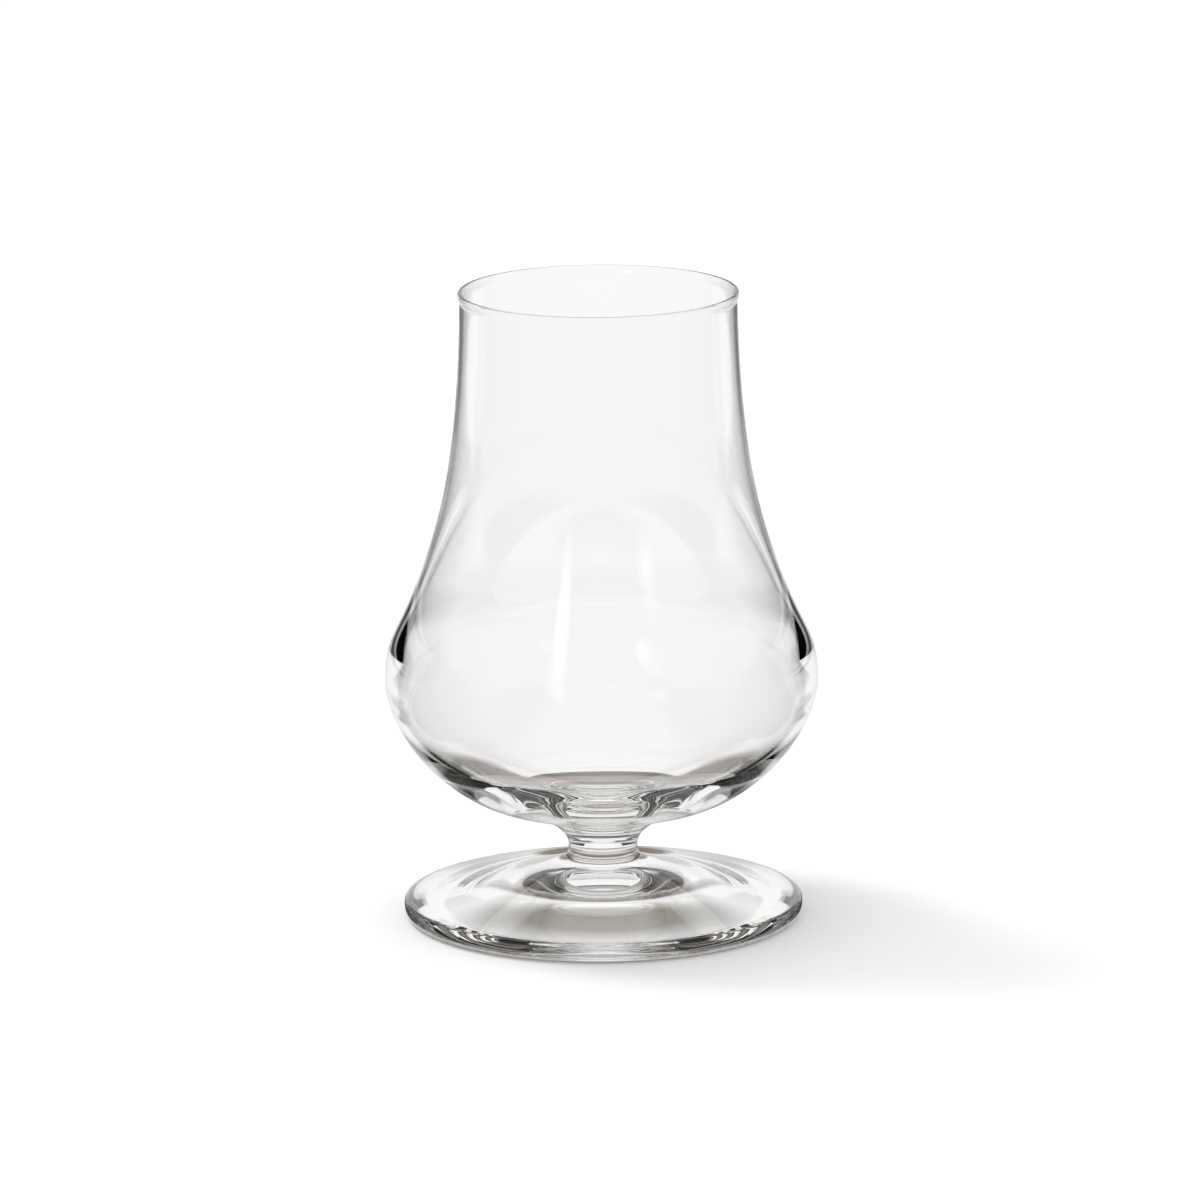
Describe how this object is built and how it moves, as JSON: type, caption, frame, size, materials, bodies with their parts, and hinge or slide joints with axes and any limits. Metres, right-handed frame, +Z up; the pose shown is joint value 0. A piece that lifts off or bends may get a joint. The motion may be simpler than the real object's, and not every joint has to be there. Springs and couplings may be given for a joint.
{
  "type": "wine tasting glass",
  "caption": "Short-stemmed clear tasting glass: a tulip bowl with a thick heel and a drawn-in mouth, a stub stem and a broad round foot.",
  "frame": {"origin": "centre of the circle that the foot stands on", "axes": "+Z up along the glass's axis, from the foot to the rim; the glass is round, so X and Y may be chosen freely"},
  "size_m": [0.0736, 0.0736, 0.108],
  "materials": {
    "clear_glass": "fire-polished, smooth and clear, with a faint grey-green cast where the glass is thick"
  },
  "bodies": {
    "root": {"foot": "clear_glass", "stem": "clear_glass", "bowl": "clear_glass"}
  },
  "joints": []
}
